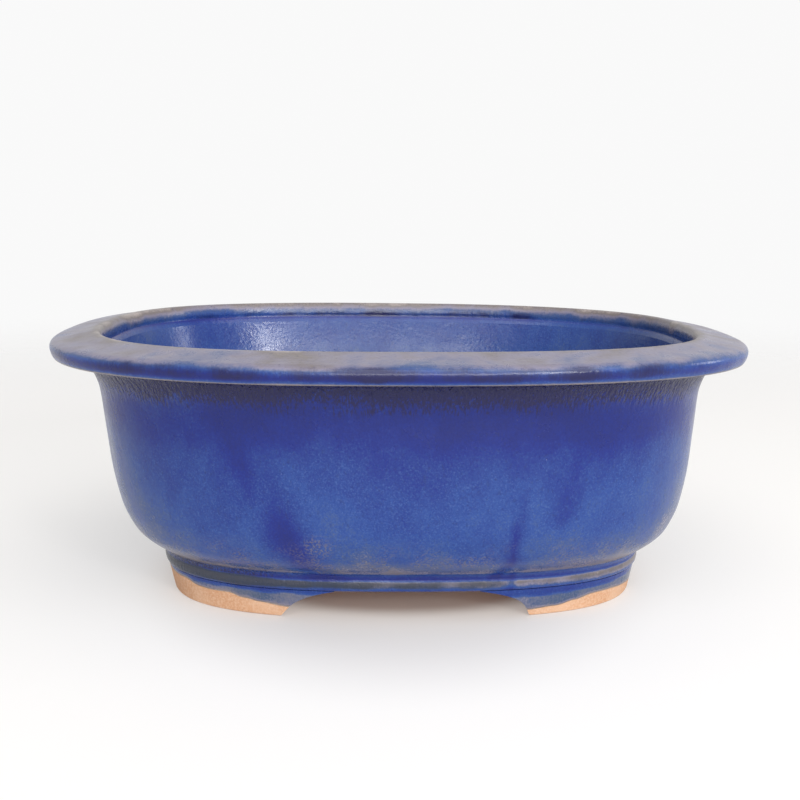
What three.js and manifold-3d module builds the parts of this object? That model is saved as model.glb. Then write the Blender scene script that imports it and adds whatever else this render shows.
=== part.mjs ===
// Oval bonsai pot in glazed stoneware, millimetres, +Z up.
// The origin is on the ground, under the middle of the pot. +X runs along its length.
// A fired pot is rigid. Each clay member that is luted into it is a mesh of its own.

import * as THREE from 'three';
import { mergeVertices } from 'three/addons/utils/BufferGeometryUtils.js';
import Module from 'manifold-3d';

const wasm = await Module();
wasm.setup();

// Driving dimensions
const HALF_LENGTH = 110;
const HALF_WIDTH = 88;
const HEIGHT = 82.6;
const OUTLINE_POWER = 2.54;
const JOINT_GAP = 0.3;
const SEGMENTS = 72;

// Rim
const LIP_EDGE = 4.9;
const LIP_SLOPE = 2.0;
const LIP_SHOULDER_INSET = 4.6;
const LIP_ARRIS_INSET = 1.4;
const LIP_CREST_INSET = 14.7;
const LIP_INNER_RADIUS = 1.5;
const LIP_INNER_INSET = 17.5;
const LIP_UNDERSIDE = HEIGHT - LIP_SLOPE - LIP_EDGE;

// Foot, moulding and floor levels
const FOOT_HEIGHT = 8.7;
const FOOT_TOP_INSET = 33;
const FOOT_SOLE_INSET = 35;
const FOOT_THICKNESS = 10;
const FOOT_CHAMFER = 0.6;
const RIDGE_BOTTOM = FOOT_HEIGHT + JOINT_GAP;
const RIDGE_TOP = 12.7;
const RIDGE_ROOT_INSET = 33.2;
const RIDGE_CREST_INSET = 32.1;
const WALL_BOTTOM = RIDGE_TOP + JOINT_GAP;
const FLOOR_THICKNESS = 6.5;
const FLOOR_INSET = 40.3;
const FLOOR_TOP = RIDGE_BOTTOM + FLOOR_THICKNESS;
const LUTED_INSET = FLOOR_INSET - JOINT_GAP;

// Arched gaps between the feet, half their width at the ground
const LONG_ARCH = 37;
const SHORT_ARCH = 24;
const ARCH_REACH = 10.5;
const ARCH_SHOULDER = 7.5;
const ARCH_TOE = 4;
const ARCH_SWEEP = 3;

// Holes through the floor
const DRAIN_RADIUS = 11;
const DRAIN_SPACING = 70;
const WIRE_RADIUS = 2.2;
const WIRE_SPACING_X = 30;
const WIRE_SPACING_Y = 48;

const blueGlaze = new THREE.MeshStandardMaterial({ color: 0x3c4f9a, roughness: 0.34, metalness: 0 });
const rimGlaze = new THREE.MeshStandardMaterial({ color: 0x4a4d74, roughness: 0.3, metalness: 0 });
const thinGlaze = new THREE.MeshStandardMaterial({ color: 0x56617f, roughness: 0.4, metalness: 0 });
const bareClay = new THREE.MeshStandardMaterial({ color: 0xd8a27c, roughness: 0.9, metalness: 0 });

// A point of the pot's outline, moved inward at right angles to the outline by inset.
function outlinePoint(angle, inset) {
  const c = Math.cos(angle);
  const s = Math.sin(angle);
  const reach = 2 / OUTLINE_POWER;
  const x = HALF_LENGTH * Math.sign(c) * Math.abs(c) ** reach;
  const y = HALF_WIDTH * Math.sign(s) * Math.abs(s) ** reach;
  const normal = new THREE.Vector2(
    (Math.sign(c) * Math.abs(c) ** (2 - reach)) / HALF_LENGTH,
    (Math.sign(s) * Math.abs(s) ** (2 - reach)) / HALF_WIDTH
  ).normalize();
  return new THREE.Vector2(x, y).addScaledVector(normal, -inset);
}

// A point of a section through the wall: how far it is inside the outline, and how high.
function section(inset, height) {
  return new THREE.Vector2(HALF_LENGTH - inset, height);
}

// Turns a closed section into a ring, then fits the round ring to the oval outline.
function ovalRing(points) {
  const ring = new THREE.LatheGeometry([...points, points[0].clone()], SEGMENTS);
  const position = ring.getAttribute('position');
  for (let i = 0; i < position.count; i += 1) {
    const x = position.getX(i);
    const z = position.getZ(i);
    const place = outlinePoint(Math.atan2(-z, x), HALF_LENGTH - Math.hypot(x, z));
    position.setXYZ(i, place.x, place.y, position.getY(i));
  }
  return ring;
}

// A smooth run of section points through the given [inset, height] pairs.
function smoothRun(pairs, divisions) {
  const knots = pairs.map(([inset, height]) => section(inset, height));
  return new THREE.SplineCurve(knots).getPoints(divisions);
}

// A round run of section points about a centre, angles in degrees from the outward direction.
function roundRun(inset, height, radius, from, to, divisions) {
  const run = [];
  for (let i = 0; i <= divisions; i += 1) {
    const angle = THREE.MathUtils.degToRad(from + ((to - from) * i) / divisions);
    run.push(section(inset - radius * Math.cos(angle), height + radius * Math.sin(angle)));
  }
  return run;
}

function toSolid(geometry) {
  const bare = geometry.clone();
  bare.deleteAttribute('normal');
  bare.deleteAttribute('uv');
  const merged = mergeVertices(bare, 1e-4);
  const mesh = new wasm.Mesh({
    numProp: 3,
    vertProperties: new Float32Array(merged.getAttribute('position').array),
    triVerts: new Uint32Array(merged.getIndex().array)
  });
  return new wasm.Manifold(mesh);
}

function toGeometry(solid) {
  const mesh = solid.getMesh();
  const geometry = new THREE.BufferGeometry();
  geometry.setAttribute('position', new THREE.BufferAttribute(mesh.vertProperties, 3));
  geometry.setIndex(new THREE.BufferAttribute(mesh.triVerts, 1));
  geometry.computeVertexNormals();
  return geometry;
}

function named(name, geometry, material) {
  const mesh = new THREE.Mesh(geometry, material);
  mesh.name = name;
  return mesh;
}

// The rim is a strap with a rounded shoulder above a crisp lower edge, or arris.
// Its top rises to a crest at the mouth.
function rimLip() {
  const shoulder = smoothRun([
    [LIP_ARRIS_INSET, LIP_UNDERSIDE], [0.3, LIP_UNDERSIDE + 0.25 * LIP_EDGE],
    [0, LIP_UNDERSIDE + 0.5 * LIP_EDGE], [0.9, LIP_UNDERSIDE + 0.85 * LIP_EDGE],
    [LIP_SHOULDER_INSET, LIP_UNDERSIDE + 1.04 * LIP_EDGE], [9.5, HEIGHT - 0.4 * LIP_SLOPE]
  ], 8);
  const crest = roundRun(LIP_CREST_INSET, HEIGHT - LIP_INNER_RADIUS, LIP_INNER_RADIUS, 90, 180, 3);
  return ovalRing([
    section(LIP_INNER_INSET, LIP_UNDERSIDE),
    ...shoulder,
    ...crest
  ]);
}

// The wall flares out into the rim at its top and turns under at the belly.
function bodyWall() {
  const outside = smoothRun([
    [32.4, WALL_BOTTOM], [30.2, 15.4], [26.4, 18], [23.4, 21], [20.9, 25.6], [19.2, 30.5],
    [17.3, 40], [16.1, 51], [15, 62], [13.1, 70], [8.6, LIP_UNDERSIDE - JOINT_GAP]
  ], 16);
  const inside = smoothRun([
    [LIP_INNER_INSET, LIP_UNDERSIDE - JOINT_GAP], [19.5, 66], [21.6, 52], [23.8, 37],
    [26.6, 27.5], [30, 21], [34.4, 17.2], [LUTED_INSET, FLOOR_TOP]
  ], 11);
  return ovalRing([...outside, ...inside, section(LUTED_INSET, WALL_BOTTOM)]);
}

// The moulding is a half-round bead on a band that joins the wall, the floor and the feet.
function baseRidge() {
  const middle = (RIDGE_BOTTOM + RIDGE_TOP) / 2;
  const bead = smoothRun([
    [RIDGE_ROOT_INSET, RIDGE_BOTTOM], [RIDGE_CREST_INSET + 0.3, RIDGE_BOTTOM + 0.8],
    [RIDGE_CREST_INSET, middle], [RIDGE_CREST_INSET + 0.3, RIDGE_TOP - 0.8],
    [RIDGE_ROOT_INSET, RIDGE_TOP]
  ], 6);
  return ovalRing([...bead, section(LUTED_INSET, RIDGE_TOP), section(LUTED_INSET, RIDGE_BOTTOM)]);
}

// The floor is a slab with two drain holes and four small holes for tie-down wires.
function floorSlab() {
  const edge = [];
  for (let i = 0; i < SEGMENTS; i += 1) {
    edge.push(outlinePoint((i / SEGMENTS) * 2 * Math.PI, FLOOR_INSET));
  }
  const slab = new THREE.Shape(edge);
  const pierce = (x, y, radius) => {
    slab.holes.push(new THREE.Path().absarc(x, y, radius, 0, 2 * Math.PI, true));
  };
  for (const side of [-1, 1]) {
    pierce((side * DRAIN_SPACING) / 2, 0, DRAIN_RADIUS);
    for (const end of [-1, 1]) {
      pierce((end * WIRE_SPACING_X) / 2, (side * WIRE_SPACING_Y) / 2, WIRE_RADIUS);
    }
  }
  const geometry = new THREE.ExtrudeGeometry(slab, {
    depth: FLOOR_THICKNESS,
    curveSegments: 10,
    bevelEnabled: false
  });
  return geometry.translate(0, 0, RIDGE_BOTTOM);
}

// An arched passage under the pot, along Y, wider at the ground than at its crown.
function archPassage(halfWidth, length) {
  const crown = FOOT_HEIGHT + 1;
  const top = halfWidth - ARCH_REACH;
  const arch = new THREE.Shape();
  arch.moveTo(-halfWidth, 0);
  arch.bezierCurveTo(
    -halfWidth + ARCH_TOE, ARCH_TOE, -top - ARCH_SWEEP, ARCH_SHOULDER, -top, ARCH_SHOULDER
  );
  arch.lineTo(-top, crown);
  arch.lineTo(top, crown);
  arch.lineTo(top, ARCH_SHOULDER);
  arch.bezierCurveTo(
    top + ARCH_SWEEP, ARCH_SHOULDER, halfWidth - ARCH_TOE, ARCH_TOE, halfWidth, 0
  );
  arch.lineTo(halfWidth, -1);
  arch.lineTo(-halfWidth, -1);
  const geometry = new THREE.ExtrudeGeometry(arch, {
    depth: length,
    curveSegments: 6,
    bevelEnabled: false
  });
  return geometry.translate(0, 0, -length / 2).rotateX(Math.PI / 2);
}

// The feet are what the four arched gaps leave of a ring that stands under the moulding.
function cornerFeet() {
  const innerInset = FOOT_SOLE_INSET + FOOT_THICKNESS;
  const ring = toSolid(ovalRing([
    section(FOOT_SOLE_INSET + FOOT_CHAMFER, 0),
    section(FOOT_SOLE_INSET, FOOT_CHAMFER),
    section(FOOT_TOP_INSET, FOOT_HEIGHT),
    section(innerInset, FOOT_HEIGHT),
    section(innerInset, FOOT_CHAMFER),
    section(innerInset - FOOT_CHAMFER, 0)
  ]));
  const alongWidth = toSolid(archPassage(LONG_ARCH, 2 * HALF_WIDTH));
  const alongLength = toSolid(archPassage(SHORT_ARCH, 2 * HALF_LENGTH).rotateZ(Math.PI / 2));
  return ring.subtract(alongWidth).subtract(alongLength).decompose().map(toGeometry);
}

function footName(geometry) {
  geometry.computeBoundingBox();
  const middle = geometry.boundingBox.getCenter(new THREE.Vector3());
  const depth = middle.y < 0 ? 'front' : 'back';
  const side = middle.x < 0 ? 'left' : 'right';
  return `foot_${depth}_${side}`;
}

const pot = new THREE.Group();
pot.add(named('rim_lip', rimLip(), rimGlaze));
pot.add(named('body_wall', bodyWall(), blueGlaze));
pot.add(named('base_ridge', baseRidge(), thinGlaze));
pot.add(named('floor_slab', floorSlab(), bareClay));
for (const foot of cornerFeet()) {
  pot.add(named(footName(foot), foot, bareClay));
}

export default pot;
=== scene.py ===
import math
import bmesh
import bpy
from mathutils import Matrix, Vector, noise


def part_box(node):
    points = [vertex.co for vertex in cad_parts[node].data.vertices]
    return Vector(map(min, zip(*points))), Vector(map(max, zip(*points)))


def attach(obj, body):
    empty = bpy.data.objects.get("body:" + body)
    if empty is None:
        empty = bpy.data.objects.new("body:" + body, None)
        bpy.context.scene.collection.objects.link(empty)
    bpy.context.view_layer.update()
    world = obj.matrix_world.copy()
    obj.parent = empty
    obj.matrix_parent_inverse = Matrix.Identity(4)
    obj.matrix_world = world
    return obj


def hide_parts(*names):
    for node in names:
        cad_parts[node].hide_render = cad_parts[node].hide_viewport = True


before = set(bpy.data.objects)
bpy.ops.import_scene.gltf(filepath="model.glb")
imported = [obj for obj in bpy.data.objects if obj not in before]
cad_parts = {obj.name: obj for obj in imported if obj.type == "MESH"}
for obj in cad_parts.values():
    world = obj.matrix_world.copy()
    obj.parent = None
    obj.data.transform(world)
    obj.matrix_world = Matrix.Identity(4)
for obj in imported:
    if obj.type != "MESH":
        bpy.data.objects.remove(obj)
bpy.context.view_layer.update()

# ---------------------------------------------------------------------------------------------
# The floor: a slab of stoneware rolled flat and cut to the oval. Two drain holes and four small
# holes for tie-down wires are cut through it while it is leather hard. It is left unglazed.
# ---------------------------------------------------------------------------------------------

mm = 0.001
rim_low, rim_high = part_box("rim_lip")
half_length = (rim_high.x - rim_low.x) / 2
half_width = (rim_high.y - rim_low.y) / 2
rim_height = rim_high.z
squareness = 2.54
noise.seed_set(3)


def outline_point(angle, inset):
    """A point of the oval outline, moved inward at right angles to it by inset."""
    c, s = math.cos(angle), math.sin(angle)
    reach = 2 / squareness
    point = Vector((math.copysign(half_length * abs(c) ** reach, c),
                    math.copysign(half_width * abs(s) ** reach, s)))
    normal = Vector((math.copysign(abs(c) ** (2 - reach) / half_length, c),
                     math.copysign(abs(s) ** (2 - reach) / half_width, s)))
    return point - normal.normalized() * inset


def settle(mesh):
    """Moves the clay as it moved in drying and firing, alike in every member, so joints stay closed."""
    lean = 1.3 * mm
    sag = 0.3 * mm
    twist = 0.6 * mm
    lift = 0.7 * mm
    skew = 0.025
    tilt = 0.2 * mm
    unevenness = 0.35 * mm
    for vert in mesh.verts:
        across = vert.co.x / half_length
        along = vert.co.y / half_width
        height = vert.co.z / rim_height
        wander = noise.noise_vector(vert.co * 20)
        towards_left_end = min(max((-across - 0.3) / 0.65, 0), 1)
        turn = skew * (1 - height)
        vert.co.xy += turn * Vector((-vert.co.y, vert.co.x))
        vert.co.x += lean * (1 - height) + unevenness * wander.x * height
        vert.co.y += unevenness * wander.y * height
        vert.co.z += height * (sag * (along ** 2 - across ** 2) - twist * across * along - tilt * along)
        vert.co.z += lift * towards_left_end ** 2 * min(5 * height, 1)


def finish_piece(name, mesh, material, slot, *nodes):
    """Turns a bmesh into a smooth-shaded object that stands for the given CAD nodes."""
    bmesh.ops.remove_doubles(mesh, verts=mesh.verts, dist=0.002 * mm)
    bmesh.ops.recalc_face_normals(mesh, faces=mesh.faces)
    data = bpy.data.meshes.new(name)
    mesh.to_mesh(data)
    mesh.free()
    data.polygons.foreach_set("use_smooth", [True] * len(data.polygons))
    data.set_sharp_from_angle(angle=math.radians(50))
    data.materials.append(material)
    piece = bpy.data.objects.new(name, data)
    bpy.context.scene.collection.objects.link(piece)
    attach(piece, "root")
    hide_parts(*nodes)
    return piece


def add_node(tree, kind, inputs, **settings):
    """A node of that kind. An input given a socket is linked to it, and any other is set."""
    made = tree.nodes.new(kind)
    for key, value in settings.items():
        setattr(made, key, value)
    for key, value in inputs.items():
        if isinstance(value, bpy.types.NodeSocket):
            tree.links.new(value, made.inputs[key])
        else:
            made.inputs[key].default_value = value
    return made


def math_node(tree, operation, a, b):
    return add_node(tree, "ShaderNodeMath", {0: a, 1: b}, operation=operation).outputs[0]


def fade(tree, value, start, end):
    """0 at start, 1 at end and smooth between, whichever of the two is the larger."""
    return add_node(tree, "ShaderNodeMapRange", {"Value": value, "From Min": start, "From Max": end},
                    interpolation_type="SMOOTHSTEP").outputs["Result"]


def mix_colour(tree, amount, below, above):
    return add_node(tree, "ShaderNodeMix", {0: amount, 6: below, 7: above}, data_type="RGBA").outputs[2]


def grain(tree, point, size, detail=2.0, stretch=1.0, roughness=0.5):
    """Noise from 0 to 1 whose patches are about size mm across, drawn out along Z by stretch."""
    scale = (1 / size, 1 / size, 1 / (size * stretch))
    placed = add_node(tree, "ShaderNodeMapping", {"Vector": point, "Scale": scale})
    return add_node(tree, "ShaderNodeTexNoise", {
        "Vector": placed.outputs[0], "Scale": 1.0, "Detail": detail, "Roughness": roughness,
    }).outputs["Fac"]


def new_group(name, takes, gives):
    """A shader node group with the named inputs and outputs, as (tree, its inputs, its output node)."""
    tree = bpy.data.node_groups.new(name, "ShaderNodeTree")
    for label, kind in takes.items():
        tree.interface.new_socket(label, in_out="INPUT", socket_type=kind)
    for label, kind in gives.items():
        tree.interface.new_socket(label, in_out="OUTPUT", socket_type=kind)
    return tree, tree.nodes.new("NodeGroupInput").outputs, tree.nodes.new("NodeGroupOutput")


def use_group(tree, group, inputs):
    return add_node(tree, "ShaderNodeGroup", inputs, node_tree=group).outputs


def start_material(name):
    """A new material: its tree, its Principled shader and its Object coordinates in millimetres."""
    material = bpy.data.materials.new(name)
    material.use_nodes = True
    tree = material.node_tree
    shader = tree.nodes["Principled BSDF"]
    place = tree.nodes.new("ShaderNodeTexCoord").outputs["Object"]
    point = add_node(tree, "ShaderNodeMapping", {"Vector": place, "Scale": (1 / mm, 1 / mm, 1 / mm)})
    return material, tree, shader, point.outputs[0]


FLOAT, VECTOR, COLOUR = "NodeSocketFloat", "NodeSocketVector", "NodeSocketColor"

clay_group, taken, given = new_group("Fired clay", {"Point": VECTOR}, {"Colour": COLOUR, "Height": FLOAT})
clay_cloud = grain(clay_group, taken["Point"], 14.0, 3.0)
clay_grit = grain(clay_group, taken["Point"], 0.7, 3.0, roughness=0.65)
clay_flecks = fade(clay_group, grain(clay_group, taken["Point"], 0.45, 1.0), 0.64, 0.72)
flash = mix_colour(clay_group, fade(clay_group, clay_cloud, 0.35, 0.65),
                   (0.50, 0.262, 0.140, 1), (0.57, 0.345, 0.217, 1))
gritty = mix_colour(clay_group, fade(clay_group, clay_grit, 0.35, 0.75), flash, (0.61, 0.405, 0.278, 1))
flecked = mix_colour(clay_group, math_node(clay_group, "MULTIPLY", clay_flecks, 0.5),
                     gritty, (0.36, 0.20, 0.12, 1))
clay_group.links.new(flecked, given.inputs["Colour"])
clay_group.links.new(math_node(clay_group, "MULTIPLY", clay_grit, 0.10), given.inputs["Height"])

floor_clay, tree, shader, point = start_material("floor clay")
clay = use_group(tree, clay_group, {"Point": point})
tree.links.new(clay["Colour"], shader.inputs["Base Color"])
shader.inputs["Roughness"].default_value = 0.88
bump = add_node(tree, "ShaderNodeBump", {"Height": clay["Height"], "Distance": mm})
tree.links.new(bump.outputs["Normal"], shader.inputs["Normal"])

floor_low, floor_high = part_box("floor_slab")
luting_gap = 0.3 * mm
floor_inset = half_length - floor_high.x - luting_gap
drain_x, drain_radius = 35 * mm, 11 * mm
wire_x, wire_y, wire_radius = 15 * mm, 24 * mm, 2.2 * mm
holes = [(side * drain_x, 0, drain_radius) for side in (-1, 1)]
holes += [(a * wire_x, b * wire_y, wire_radius) for a in (-1, 1) for b in (-1, 1)]

slab = bmesh.new()
bmesh.ops.create_circle(slab, segments=240, radius=half_length - floor_inset)
for vert in slab.verts:
    vert.co.xy = outline_point(math.atan2(vert.co.y, vert.co.x), floor_inset)
for x, y, radius in holes:
    hole = bmesh.ops.create_circle(slab, segments=48, radius=radius)
    bmesh.ops.translate(slab, verts=hole["verts"], vec=(x, y, 0))
bmesh.ops.triangle_fill(slab, use_beauty=True, edges=slab.edges)
bmesh.ops.translate(slab, verts=slab.verts, vec=(0, 0, floor_low.z))
raised = bmesh.ops.extrude_face_region(slab, geom=slab.faces[:])
raised_verts = [part for part in raised["geom"] if isinstance(part, bmesh.types.BMVert)]
bmesh.ops.translate(slab, verts=raised_verts, vec=(0, 0, floor_high.z - floor_low.z))


def in_a_hole_rim(edge):
    middle = (edge.verts[0].co + edge.verts[1].co) / 2
    level = abs(edge.verts[0].co.z - edge.verts[1].co.z) < 0.01 * mm
    near = any((middle.xy - Vector((x, y))).length < radius + 0.05 * mm for x, y, radius in holes)
    return level and near


rims = [edge for edge in slab.edges if in_a_hole_rim(edge)]
bmesh.ops.bevel(slab, geom=rims, offset=0.8 * mm, affect="EDGES", segments=3, profile=0.5, material=-1)
settle(slab)
finish_piece("floor_with_drain_holes", slab, floor_clay, "bare_clay", "floor_slab")

# ---------------------------------------------------------------------------------------------
# The wall: pressed into an oval mould, then trimmed. It flares into the rim and turns under at
# the belly. Cobalt glaze is poured over it, and it runs, pools and breaks thin as it melts.
# ---------------------------------------------------------------------------------------------

ring_steps = 300


def smooth_run(knots, spacing):
    """A smooth curve through knots of (inset, height, coat, iron), with points spacing mm apart."""
    points = [Vector(knot) for knot in knots]
    ends = [2 * points[0] - points[1], *points, 2 * points[-1] - points[-2]]
    run = []
    for before, start, end, after in zip(ends, ends[1:], ends[2:], ends[3:]):
        count = max(1, round((end - start).xy.length / spacing))
        for i in range(count):
            t = i / count
            run.append(0.5 * (2 * start + (end - before) * t
                              + (2 * before - 5 * start + 4 * end - after) * t ** 2
                              + (3 * start - before - 3 * end + after) * t ** 3))
    return [*run, points[-1]]


def oval_ring(outside, inside):
    """Spins a closed section into a ring and fits it to the oval outline. A section gives how far
    inside the outline and how high a point is, in mm, then how thick the glaze is, from 1 where it
    pools to 0 where it breaks and below 0 on bare clay, then how dark with iron it is, from 1 down
    to 0, and below 0 where no iron bleeds in. Glaze runs down the outside points only."""
    mesh = bmesh.new()
    coat = mesh.verts.layers.float.new("coat")
    iron = mesh.verts.layers.float.new("iron")
    flow = mesh.verts.layers.float.new("flow")
    loop = []
    for run, flowing in ((outside, 1), (inside, 0)):
        for inset, height, thickness, darkness in run:
            vert = mesh.verts.new((half_length - inset * mm, 0, height * mm))
            vert[coat], vert[iron], vert[flow] = thickness, darkness, flowing
            loop.append(vert)
    edges = [mesh.edges.new(pair) for pair in zip(loop, loop[1:] + loop[:1])]
    bmesh.ops.spin(mesh, geom=loop + edges, cent=(0, 0, 0), axis=(0, 0, 1),
                   angle=math.tau, steps=ring_steps, use_merge=True)
    for vert in mesh.verts:
        angle = math.atan2(vert.co.y, vert.co.x)
        vert.co.xy = outline_point(angle, half_length - vert.co.xy.length)
    return mesh


# Each run of thick glaze: where its foot is around the pot and how far its top leans from there,
# its half width, all in degrees, its top and bottom in mm, and how thick it is. The front is at -90.
glaze_runs = [
    (-103.5, -7, 3.6, 50, 8, 1.0), (-111, -5, 2.0, 64, 36, 0.4), (-73.2, 0, 1.1, 46, 10, 0.9),
    (-68.5, 0, 0.9, 20, 8, 0.8), (-66, 4, 2.2, 60, 30, 0.4), (-40, 2, 2.5, 50, 18, 0.2),
    (-148, -3, 2.0, 60, 24, 0.3), (-8, 2, 2.4, 58, 14, 0.6), (18, -3, 1.6, 52, 20, 0.7),
    (52, 4, 2.8, 48, 12, 0.7), (76, 2, 1.4, 54, 10, 0.9), (101, -8, 3.4, 50, 16, 0.8),
    (131, 2, 1.6, 44, 10, 0.7), (158, -2, 2.2, 56, 18, 0.5), (178, 3, 1.8, 50, 12, 0.8),
]
run_bulge = 0.25 * mm
run_coat = 0.42
end_thinning = 0.2


def around_the_pot(place):
    """The angle in degrees of a point around the oval, counted evenly along its flatter sides."""
    along, across = place.x / half_length, place.y / half_width
    bend = squareness / 2
    return math.degrees(math.atan2(math.copysign(abs(across) ** bend, across),
                                   math.copysign(abs(along) ** bend, along)))


def run_thickness(angle, height):
    """How thick the runs make the glaze there, from 0 to 1. Height is in mm."""
    thickest = 0.0
    for foot, lean, half_wide, top, bottom, strength in glaze_runs:
        share_up = (height - bottom) / (top - bottom)
        wobble = 1.2 * noise.noise(Vector((foot, height * 0.06, 0)))
        off = (angle - foot - lean * share_up - wobble + 180) % 360 - 180
        thinning = min(max(2 - 2 * share_up, 0), 1) * min(max(share_up * 8, 0), 1)
        spread = half_wide * (1.35 - 0.6 * share_up)
        thickest = max(thickest, strength * thinning * math.exp(-(off / spread) ** 2))
    return thickest


def pour_glaze(mesh):
    """Thickens the glaze where it ran, in the coat that the material reads and in the surface itself,
    and thins it a little towards the two ends of the pot."""
    mesh.normal_update()
    coat = mesh.verts.layers.float["coat"]
    flow = mesh.verts.layers.float["flow"]
    thick = [vert[flow] * run_thickness(around_the_pot(vert.co), vert.co.z / mm) for vert in mesh.verts]
    for vert, share in zip(mesh.verts, thick):
        above_joint = min(max((vert.co.z / mm - 15) / 2, 0), 1)
        vert.co += vert.normal * (run_bulge * share * above_joint)
        if vert[coat] > 0:
            vert[coat] += run_coat * share - end_thinning * vert[flow] * (vert.co.x / half_length) ** 2


drift_group, taken, given = new_group(
    "Glaze drift", {"Coat": FLOAT, "Point": VECTOR, "Drift": FLOAT, "Mottle": FLOAT}, {"Coat": FLOAT})
drifted = taken["Coat"]
for patch_size, detail, drawn_out, share, amount in (
        (34, 4, 0.8, 1.5, "Drift"), (7, 3, 1.5, 0.9, "Drift"), (0.6, 2, 1.2, 1.0, "Mottle")):
    patches = grain(drift_group, taken["Point"], patch_size, detail, drawn_out)
    shift = math_node(drift_group, "MULTIPLY", math_node(drift_group, "SUBTRACT", patches, 0.5), share)
    drifted = math_node(drift_group, "ADD", drifted, math_node(
        drift_group, "MULTIPLY", shift, taken[amount]))
drift_group.links.new(drifted, given.inputs["Coat"])

colour_group, taken, given = new_group("Glaze colour", {"Coat": FLOAT, "Point": VECTOR}, {"Colour": COLOUR})
ramp = add_node(colour_group, "ShaderNodeValToRGB", {"Fac": taken["Coat"]})
# The light lavender grey at 0.26, for thin glaze, is partly the glaze and partly a painted sheen, a
# reflection of the bright room painted into the colour.
thin_to_thick = [
    (0.00, (0.330, 0.285, 0.270)), (0.12, (0.150, 0.128, 0.125)), (0.26, (0.185, 0.170, 0.230)),
    (0.40, (0.038, 0.070, 0.185)), (0.52, (0.016, 0.052, 0.220)), (0.68, (0.009, 0.031, 0.182)),
    (0.84, (0.004, 0.015, 0.162)), (1.00, (0.004, 0.011, 0.125)),
]
while len(ramp.color_ramp.elements) < len(thin_to_thick):
    ramp.color_ramp.elements.new(0.5)
for stop, (place, colour) in zip(ramp.color_ramp.elements, thin_to_thick):
    stop.position = place
    stop.color = (*colour, 1)
light_dots = fade(colour_group, grain(colour_group, taken["Point"], 0.5, 2.0), 0.50, 0.74)
light_dots = math_node(colour_group, "MULTIPLY", light_dots, fade(colour_group, taken["Coat"], 0.9, 0.6))
light_dots = math_node(colour_group, "MULTIPLY", light_dots, fade(colour_group, taken["Coat"], 0.35, 0.5))
dark_dots = fade(colour_group, grain(colour_group, taken["Point"], 1.0, 2.0, 1.6), 0.42, 0.25)
dotted = mix_colour(colour_group, math_node(colour_group, "MULTIPLY", light_dots, 0.5),
                    ramp.outputs["Color"], (0.052, 0.105, 0.280, 1))
dotted = mix_colour(colour_group, math_node(colour_group, "MULTIPLY", dark_dots, 0.35),
                    dotted, (0.008, 0.015, 0.085, 1))
colour_group.links.new(dotted, given.inputs["Colour"])

iron_group, taken, given = new_group(
    "Iron bleed", {"Iron": FLOAT, "Point": VECTOR, "Hair": FLOAT, "Breaks": FLOAT},
    {"Mask": FLOAT, "Rivulets": FLOAT})
hairs = math_node(iron_group, "SUBTRACT", grain(iron_group, taken["Point"], 0.45, 2.0, 16.0, 0.6), 0.5)
breaks = math_node(iron_group, "SUBTRACT", grain(iron_group, taken["Point"], 14.0, 3.0, 0.7), 0.5)
bled = math_node(iron_group, "ADD", taken["Iron"], math_node(iron_group, "MULTIPLY", hairs, taken["Hair"]))
bled = math_node(iron_group, "ADD", bled, math_node(iron_group, "MULTIPLY", breaks, taken["Breaks"]))
mask = math_node(iron_group, "MULTIPLY", fade(iron_group, bled, 0.25, 0.8),
                 fade(iron_group, taken["Iron"], 0.0, 0.22))
iron_group.links.new(mask, given.inputs["Mask"])
rivulets = grain(iron_group, taken["Point"], 0.9, 2.0, 12.0)
iron_group.links.new(math_node(iron_group, "MULTIPLY", rivulets, taken["Iron"]), given.inputs["Rivulets"])

skin_group, taken, given = new_group("Glaze skin", {"Point": VECTOR}, {"Height": FLOAT, "Roughness": FLOAT})
skin = 0.0
for bump_size, depth in ((1.4, 0.085), (0.5, 0.03), (7.0, 0.14)):
    bumps = grain(skin_group, taken["Point"], bump_size, 1.0)
    skin = math_node(skin_group, "ADD", skin, math_node(skin_group, "MULTIPLY", bumps, depth))
cells = add_node(skin_group, "ShaderNodeTexVoronoi", {
    "Vector": taken["Point"], "Scale": 0.12}, feature="F1")
pinholes = fade(skin_group, cells.outputs["Distance"], 0.045, 0.02)
skin = math_node(skin_group, "SUBTRACT", skin, math_node(skin_group, "MULTIPLY", pinholes, 0.12))
skin_group.links.new(skin, given.inputs["Height"])
shine = add_node(skin_group, "ShaderNodeMapRange", {
    "Value": grain(skin_group, taken["Point"], 9.0, 4.0), "From Min": 0.3, "From Max": 0.7,
    "To Min": 0.19, "To Max": 0.31})
skin_group.links.new(shine.outputs["Result"], given.inputs["Roughness"])


# Where a blister on the front of the wall broke into brown freckles, in mm.
blister_place = (-22.5, -67.5, 25.5)


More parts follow.
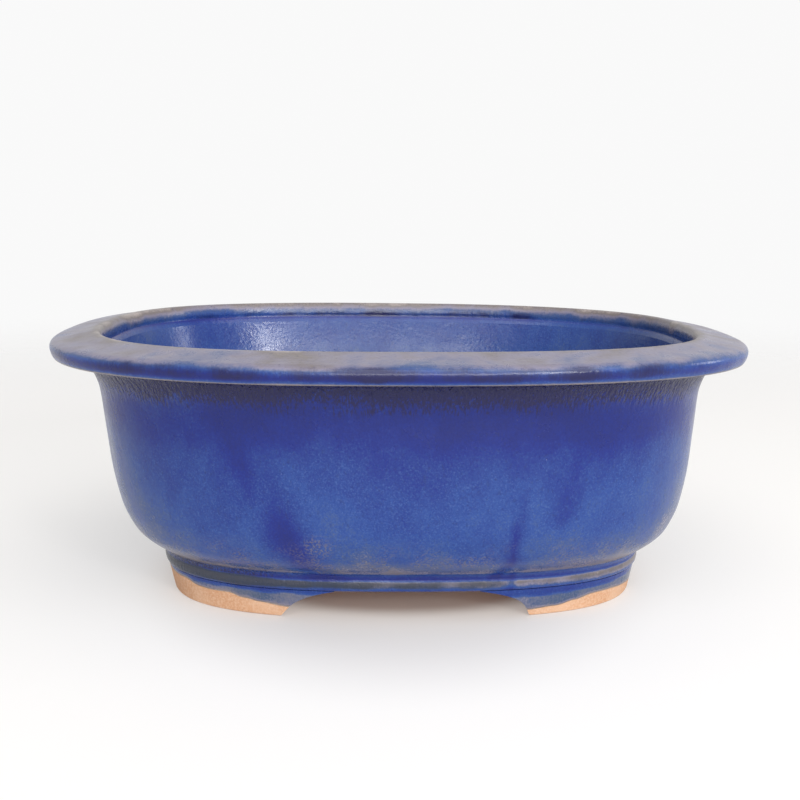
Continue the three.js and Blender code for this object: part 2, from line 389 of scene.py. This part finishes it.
def glazed_stoneware(name, drift, mottle, hair, breaks, ripple=0.15, rust=(0.008, 0.007, 0.050),
                     specks=None):
    """Stoneware under the blue glaze. drift is how much the glaze varies from patch to patch, and
    mottle how much from spot to spot. hair is how far the dark iron bleeds down in hairs, breaks how
    far it comes and goes in patches, ripple how deep the rivulets in it are and rust its colour.
    Brown specks thicken from the first height of specks to the second, and stop at the third."""
    material, tree, shader, point = start_material(name)
    laid = add_node(tree, "ShaderNodeAttribute", {}, attribute_name="coat").outputs["Fac"]
    iron = add_node(tree, "ShaderNodeAttribute", {}, attribute_name="iron").outputs["Fac"]
    coat = use_group(tree, drift_group, {
        "Coat": laid, "Point": point, "Drift": drift, "Mottle": mottle})["Coat"]
    colour = use_group(tree, colour_group, {"Coat": coat, "Point": point})["Colour"]
    if specks:
        height = add_node(tree, "ShaderNodeSeparateXYZ", {"Vector": point}).outputs["Z"]
        spots = fade(tree, grain(tree, point, 0.6, 2.0), 0.46, 0.62)
        clusters = fade(tree, grain(tree, point, 9.0, 2.0), 0.40, 0.60)
        crumbs = math_node(tree, "MULTIPLY", spots, clusters)
        thin_above, thick_at, stop_at = specks
        crumbs = math_node(tree, "MULTIPLY", crumbs, fade(tree, height, thin_above, thick_at))
        crumbs = math_node(tree, "MULTIPLY", crumbs, fade(tree, height, stop_at, stop_at + 0.8))
        blister = add_node(tree, "ShaderNodeVectorMath", {0: point, 1: blister_place},
                           operation="DISTANCE").outputs["Value"]
        freckles = math_node(tree, "MULTIPLY", spots, fade(tree, blister, 6, 1))
        crumbs = math_node(tree, "MAXIMUM", crumbs, freckles)
        colour = mix_colour(tree, math_node(tree, "MULTIPLY", crumbs, 0.7), colour, (0.16, 0.135, 0.12, 1))
    bleed = use_group(tree, iron_group, {"Iron": iron, "Point": point, "Hair": hair, "Breaks": breaks})
    colour = mix_colour(tree, math_node(tree, "MULTIPLY", bleed["Mask"], 0.92), colour, (*rust, 1))
    clay = use_group(tree, clay_group, {"Point": point})
    skin = use_group(tree, skin_group, {"Point": point})
    covered = fade(tree, laid, -0.03, 0.03)
    tree.links.new(mix_colour(tree, covered, clay["Colour"], colour), shader.inputs["Base Color"])
    dry = math_node(tree, "MULTIPLY", fade(tree, coat, 0.45, 0.1), 0.12)
    satin = math_node(tree, "ADD", skin["Roughness"], dry)
    rough = add_node(tree, "ShaderNodeMix", {0: covered, 2: 0.88, 3: satin}, data_type="FLOAT")
    tree.links.new(rough.outputs[0], shader.inputs["Roughness"])
    shader.inputs["IOR"].default_value = 1.42
    wet = math_node(tree, "ADD", skin["Height"], math_node(tree, "MULTIPLY", bleed["Rivulets"], ripple))
    relief = add_node(tree, "ShaderNodeMix", {
        0: covered, 2: clay["Height"], 3: math_node(tree, "ADD", wet, 0.15)}, data_type="FLOAT")
    bump = add_node(tree, "ShaderNodeBump", {"Height": relief.outputs[0], "Distance": mm})
    tree.links.new(bump.outputs["Normal"], shader.inputs["Normal"])
    return material


lip_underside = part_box("rim_lip")[0].z / mm
groove_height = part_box("body_wall")[0].z / mm
# The coat thickens up the wall towards the lip, so the blue darkens there: partly thicker glaze, partly
# painted shade under the overhanging lip.
wall_outside = smooth_run([
    (32.4, groove_height, 0.9, 0), (32.1, 13.9, 0.8, 0), (31.2, 14.8, 0.6, 0), (30.2, 15.5, 0.3, 0),
    (28.8, 16.4, 0.3, 0), (26.4, 18.1, 0.42, 0), (23.4, 21, 0.50, 0), (20.9, 25.6, 0.52, 0),
    (19.2, 30.5, 0.56, 0), (17.3, 40, 0.6, 0), (16.1, 51, 0.72, 0), (15.4, 58, 0.90, 0),
    (14.9, 63, 0.96, 0), (14.3, 66.5, 0.94, 0.32), (13.0, 70, 0.9, 0.85), (11.0, 73.6, 0.8, 1.1),
    (7.6, lip_underside, 0.9, 1.1),
], 0.9)
wall_inside = smooth_run([
    (17.5, lip_underside, 0.58, 0), (18.7, 71, 0.58, 0), (19.8, 66, 0.55, 0), (20.8, 60, 0.52, 0),
    (21.8, 52, 0.48, 0), (22.7, 44, 0.42, 0), (23.3, 40, 0.15, 0), (23.8, 37, -0.3, 0),
    (26.6, 27.5, -1, 0), (30, 21, -1, 0), (34.4, 17.2, -1, 0), (40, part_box("floor_slab")[1].z / mm, -1, 0),
], 1.1)
wall = oval_ring(wall_outside, [*wall_inside, Vector((40, groove_height, -1, 0))])
wall_coat, wall_iron = wall.verts.layers.float["coat"], wall.verts.layers.float["iron"]
# The groove under the belly has thinner glaze towards both ends, and iron in it at the left.
groove_top = 16.4
for vert in wall.verts:
    to_the_right = vert.co.x / half_length
    in_the_groove = min(max(groove_top - vert.co.z / mm, 0), 1)
    vert[wall_iron] += in_the_groove * max(-to_the_right, 0)
    vert[wall_coat] -= 0.3 * in_the_groove * abs(to_the_right)
pour_glaze(wall)
settle(wall)
wall_glaze = glazed_stoneware(
    "blue glaze on the wall", 0.34, 0.4, 2.8, 1.1, ripple=0.85, specks=(30, 17, 14.8))
finish_piece("wall_of_the_pot", wall, wall_glaze, "blue_glaze", "body_wall")

# ---------------------------------------------------------------------------------------------
# The rim: a flat strap of clay luted on the flared wall, with a rounded shoulder and a crisp
# lower edge. Glaze drains off its top and its edges, so it is thin there and grey blue, and the
# lavender of its top and shoulder is partly painted sheen and a painted highlight band.
# ---------------------------------------------------------------------------------------------

crest_height = rim_height / mm
# The thin coat over the top of the lip and down its shoulder gives a light lavender that is partly thin
# glaze, partly painted sheen and, on the shoulder, a painted highlight band.
lip_edge = [(inset, lip_underside + rise, coat, iron) for inset, rise, coat, iron in (
    (3.6, -0.35, 0.8, 0.6), (2.0, -0.5, 0.15, -0.2), (1.4, -0.4, 0.03, -0.5), (1.12, 0.0, 0.4, 0.1),
    (0.68, 1.0, 0.95, 0.55), (0.42, 2.0, 0.92, 0.7), (0.4, 2.7, 0.7, 0.7), (0.7, 3.6, 0.42, 0.62),
    (1.4, 4.3, 0.31, 0.42), (2.7, 4.85, 0.28, 0.1), (4.6, 5.2, 0.27, -0.3),
)]
lip_crest = [(inset, crest_height - drop, coat, iron) for inset, drop, coat, iron in (
    (8.0, 1.1, 0.25, -0.4), (12.0, 0.3, 0.23, -0.4), (13.6, 0.04, 0.15, -0.5), (14.6, 0.04, 0.11, -0.5),
    (15.3, 0.35, 0.11, -0.3), (15.8, 1.1, 0.17, 0), (16.1, 1.9, 0.30, 0.2), (16.3, 3.0, 0.43, 0.5),
    (16.35, 4.1, 0.52, 0.6), (16.25, 4.8, 0.65, 0.6), (16.4, 5.2, 0.9, 0.2), (16.9, 5.8, 0.7, -0.4),
)]
rim_section = smooth_run([
    (7.6, lip_underside, 0.9, 1.1), *lip_edge, *lip_crest, (17.5, lip_underside, 0.58, -0.5)], 0.5)
rim = oval_ring(rim_section, [])
rim_coat, rim_iron = rim.verts.layers.float["coat"], rim.verts.layers.float["iron"]
# The iron fades towards both ends, and the thicker glaze of the edges thins towards the right.
for vert in rim.verts:
    to_the_right = vert.co.x / half_length
    vert[rim_iron] -= (0.5 * abs(to_the_right) + 0.1 * to_the_right) * abs(to_the_right)
    vert[rim_coat] -= 0.5 * max(vert[rim_coat] - 0.35, 0) * max(to_the_right, 0)
settle(rim)
rim_glaze = glazed_stoneware("thin blue glaze and painted sheen on the rim", 0.36, 0.12, 0.4, 1.5, ripple=0.08)
finish_piece("rim_strap", rim, rim_glaze, "rim_glaze", "rim_lip")

# ---------------------------------------------------------------------------------------------
# The moulding: a low bead run round the base with a template, between two narrow grooves. The
# glaze pools blue in the grooves and breaks brown and grey over the bead.
# ---------------------------------------------------------------------------------------------

bead_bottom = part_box("base_ridge")[0].z / mm
bead_outside = smooth_run([
    (33.5, bead_bottom, -0.4, 0), (33.2, bead_bottom + 0.08, 0.75, 0), (32.8, bead_bottom + 0.35, 0.7, 0),
    (32.45, bead_bottom + 0.8, 0.58, 0.2), (32.3, bead_bottom + 1.6, 0.38, 0.6),
    (32.25, bead_bottom + 2.4, 0.25, 0.7), (32.3, bead_bottom + 3.1, 0.25, 0.6),
    (32.36, bead_bottom + 3.6, 0.6, 0.2), (32.4, groove_height, 0.9, 0),
], 0.35)
bead = oval_ring(bead_outside, [Vector((40, groove_height, -1, 0)), Vector((40, bead_bottom, -1, 0))])
bead_coat, bead_iron = bead.verts.layers.float["coat"], bead.verts.layers.float["iron"]
# The crest of the bead is dark with iron at the left, and worn pale at the right.
for vert in bead.verts:
    to_the_right = vert.co.x / half_length
    on_the_crest = vert[bead_iron]
    vert[bead_coat] -= 0.2 * to_the_right * on_the_crest
    vert[bead_iron] += 0.5 * max(-to_the_right, 0) - 0.9 * to_the_right * on_the_crest
pour_glaze(bead)
settle(bead)
bead_glaze = glazed_stoneware(
    "broken glaze on the moulding", 0.32, 0.25, 0.2, 1.6, rust=(0.024, 0.030, 0.046))
finish_piece("moulding_at_the_base", bead, bead_glaze, "thin_glaze", "base_ridge")

# ---------------------------------------------------------------------------------------------
# The feet: what four arched gaps leave of a short ring luted under the moulding. The glaze is
# sponged off above the soles, so a band of bare buff clay shows under a wavering line.
# ---------------------------------------------------------------------------------------------

foot_steps = 44
foot_rows = 16
foot_columns = 8
foot_top = bead_bottom
foot_top_inset, sole_inset, foot_thickness = 33.1, 35.0, 10.0
end_gap = 24.0
thin_coat, pooled_coat, pool_depth = 0.33, 0.68, 1.1


def arch_half_width(at_ground, taper, sweep, height):
    """Half the width of the gap between two feet at that height, all in mm: straight, then swept."""
    rise = height / foot_top
    return at_ground - taper * rise - sweep * rise ** 4


def outline_angle(inset, value, axis):
    """The angle, in the first quarter, at which the inset outline has that X (axis 0) or Y (axis 1)."""
    low, high = 0.0, math.pi / 2
    for _ in range(26):
        middle = (low + high) / 2
        too_far = outline_point(middle, inset)[axis] > value
        if too_far == (axis == 0):
            low = middle
        else:
            high = middle
    return (low + high) / 2


def line_height(knots, share):
    """The height of the glaze line that far round a foot, in smooth steps between the knots."""
    for (start, low), (stop, high) in zip(knots, knots[1:]):
        if share <= stop:
            t = (share - start) / (stop - start)
            return low + (high - low) * t * t * (3 - 2 * t)
    return knots[-1][1]


def foot_mesh(end, side, gap, taper, sweep, pool, knots):
    """One foot. end is the sign of X and side the sign of Y. gap is half the long arch at the
    ground, and taper and sweep shape both arches. The knots of the glaze line run from the end
    arch, at 0, to the long one, at 1, where the pool under the moulding is pool mm deeper."""
    mesh = bmesh.new()
    coat = mesh.verts.layers.float.new("coat")
    iron = mesh.verts.layers.float.new("iron")
    bmesh.ops.create_grid(mesh, x_segments=foot_columns, y_segments=foot_rows, size=0.5)
    for vert in mesh.verts:
        across, up = vert.co.x + 0.5, vert.co.y + 0.5
        outer = sole_inset + (foot_top_inset - sole_inset) * up
        inner = sole_inset + foot_thickness
        vert.co = (half_length - (outer + (inner - outer) * across) * mm, 0, foot_top * up * mm)
    bmesh.ops.spin(mesh, geom=mesh.verts[:] + mesh.edges[:] + mesh.faces[:], cent=(0, 0, 0),
                   axis=(0, 0, 1), angle=math.pi / 2, steps=foot_steps)
    limits = {}
    for vert in mesh.verts:
        share = math.atan2(vert.co.y, vert.co.x) / (math.pi / 2)
        inset = half_length - vert.co.xy.length
        height = vert.co.z / mm
        key = (round(inset / mm, 3), round(height, 3))
        if key not in limits:
            limits[key] = (outline_angle(inset, arch_half_width(end_gap, taper, sweep, height) * mm, 1),
                           outline_angle(inset, arch_half_width(gap, taper, sweep, height) * mm, 0))
        start, stop = limits[key]
        vert.co.xy = outline_point(start + (stop - start) * share, inset)
        outer = sole_inset + (foot_top_inset - sole_inset) * height / foot_top
        behind_face = inset / mm - outer
        line = line_height(knots, share) + 0.5 * noise.noise(vert.co * 90)
        pool_foot = foot_top - pool_depth - pool * share + 0.4 * noise.noise(vert.co * 160)
        pooled = min(max((height - pool_foot) / 0.5, 0), 1)
        laid = thin_coat + (pooled_coat - thin_coat) * pooled
        vert[coat] = min(laid, (height - line) / 2.2) - behind_face
        vert[iron] = min(0.5, (height - line) / 1.6) - pooled
    sole = [e for e in mesh.edges if max(v.co.z for v in e.verts) < 0.01 * mm and e.calc_face_angle(0) > 1]
    bmesh.ops.bevel(mesh, geom=sole, offset=0.5 * mm, affect="EDGES", segments=2, profile=0.5, material=-1)
    bmesh.ops.scale(mesh, vec=(end, side, 1), verts=mesh.verts)
    return mesh


foot_glaze = glazed_stoneware(
    "grey blue glaze on the feet", 0.25, 0.25, 0.2, 0.6, rust=(0.052, 0.076, 0.108))
feet = {
    "foot_front_left": (-1, -1, 37.2, 7.0, 9.5, 0.2, [
        (0, 8.2), (0.42, 7.4), (0.52, 6.2), (0.6, 6.1), (0.72, 6.5), (0.8, 5.2), (0.88, 4.3), (1, 3.5)]),
    "foot_front_right": (1, -1, 37.4, 3.0, 12.0, 1.6, [
        (0, 3.2), (0.3, 4.2), (0.5, 4.7), (0.65, 4.9), (0.76, 4.0), (0.87, 2.5), (1, 2.2)]),
    "foot_back_left": (-1, 1, 37.2, 6.0, 10.0, 0.8, [(0, 2.9), (0.5, 4.1), (0.8, 3.4), (1, 2.8)]),
    "foot_back_right": (1, 1, 37.2, 6.0, 10.0, 0.3, [(0, 3.3), (0.4, 3.6), (0.7, 4.5), (1, 3.2)]),
}
for node_name, shape in feet.items():
    foot = foot_mesh(*shape)
    settle(foot)
    finish_piece("corner_" + node_name, foot, foot_glaze, "foot_clay", node_name)

# ---------------------------------------------------------------------------------------------
# The table: a pale translucent sheet with a painted glow and painted shadow under the pot, which
# fades into the white of the room, under a softbox at the front, with daylight from two windows on
# the right.
# ---------------------------------------------------------------------------------------------

table_mesh = bmesh.new()
bmesh.ops.create_circle(table_mesh, segments=96, radius=1.6, cap_ends=True)
table_data = bpy.data.meshes.new("table")
table_mesh.to_mesh(table_data)
table_mesh.free()
table = bpy.data.objects.new("table", table_data)
bpy.context.scene.collection.objects.link(table)

table_sheet, tree, shader, point = start_material("glowing table with painted shadow")
shader.inputs["Base Color"].default_value = (0.45, 0.44, 0.43, 1)
shader.inputs["Roughness"].default_value = 0.7
shader.inputs["Emission Strength"].default_value = 1.0
# Painted shadow under the pot, in the sheet's painted glow: a wide soft oval, and a dark one in it,
# warm with painted bounce light off the clay.
sheet_glow_and_painted_shadow = (0.45, 0.445, 0.44, 1)
for reach_x, reach_y, start, stop, shade in (
        (60, 80, 0.8, 1.5, (0.27, 0.26, 0.255, 1)), (78, 64, 0.66, 0.84, (0.04, 0.02, 0.016, 1))):
    oval = add_node(tree, "ShaderNodeMapping", {"Vector": point, "Scale": (1 / reach_x, 1 / reach_y, 1)})
    beside = add_node(tree, "ShaderNodeVectorMath", {0: oval.outputs[0]}, operation="LENGTH")
    sheet_glow_and_painted_shadow = mix_colour(tree, fade(tree, beside.outputs["Value"], start, stop), shade, sheet_glow_and_painted_shadow)
tree.links.new(sheet_glow_and_painted_shadow, shader.inputs["Emission Color"])
away = add_node(tree, "ShaderNodeVectorMath", {0: point}, operation="LENGTH").outputs["Value"]
tree.links.new(fade(tree, away, 900, 250), shader.inputs["Alpha"])
table_data.materials.append(table_sheet)

# The room is seen as white, reflects brightly in the glaze and lights matt surfaces softly.
room = bpy.data.worlds.new("white room")
bpy.context.scene.world = room
room.use_nodes = True
sky = room.node_tree.nodes["Background"]
sky.inputs["Color"].default_value = (1.0, 1.0, 1.0, 1)
ray = room.node_tree.nodes.new("ShaderNodeLightPath").outputs
lighting = add_node(room.node_tree, "ShaderNodeMix", {
    0: ray["Is Diffuse Ray"], 2: 0.9, 3: 0.3}, data_type="FLOAT")
strength = add_node(room.node_tree, "ShaderNodeMix", {
    0: ray["Is Camera Ray"], 2: lighting.outputs[0], 3: 0.95}, data_type="FLOAT")
room.node_tree.links.new(strength.outputs[0], sky.inputs["Strength"])


def soft_light(name, azimuth, elevation, distance, width, height, watts):
    """An area light aimed at the pot. Azimuth is in degrees from the camera's side towards +X."""
    data = bpy.data.lights.new(name, "AREA")
    data.shape = "RECTANGLE"
    data.size, data.size_y = width, height
    data.energy = watts
    light = bpy.data.objects.new(name, data)
    a, e = math.radians(azimuth), math.radians(elevation)
    aim = Vector((math.sin(a) * math.cos(e), -math.cos(a) * math.cos(e), math.sin(e)))
    light.location = Vector((0, 0, rim_height / 2)) + aim * distance
    light.rotation_euler = aim.to_track_quat("Z", "Y").to_euler()
    bpy.context.scene.collection.objects.link(light)


soft_light("overhead", 10, 80, 1.2, 1.4, 1.0, 3)
soft_light("front softbox", 14, 50, 1.3, 1.7, 1.0, 14)
soft_light("window", 30, 20, 1.5, 0.22, 0.16, 6)
soft_light("side window", 97, 17, 1.5, 0.30, 0.30, 2.4)
soft_light("camera side", 8, 12, 1.6, 1.1, 0.5, 13)

camera_data = bpy.data.cameras.new("camera")
camera_data.sensor_width = 36
camera_data.lens = 52.2
camera_data.clip_start = 0.01
camera = bpy.data.objects.new("camera", camera_data)
camera.location = (0.0006, -0.382, 0.1241)
camera.rotation_mode = "ZYX"
camera.rotation_euler = (math.radians(90) - 0.174, 0, 0)
camera.rotation_euler.rotate_axis("Z", 0.007)
bpy.context.scene.collection.objects.link(camera)
bpy.context.scene.camera = camera
bpy.context.scene.view_settings.view_transform = "Standard"
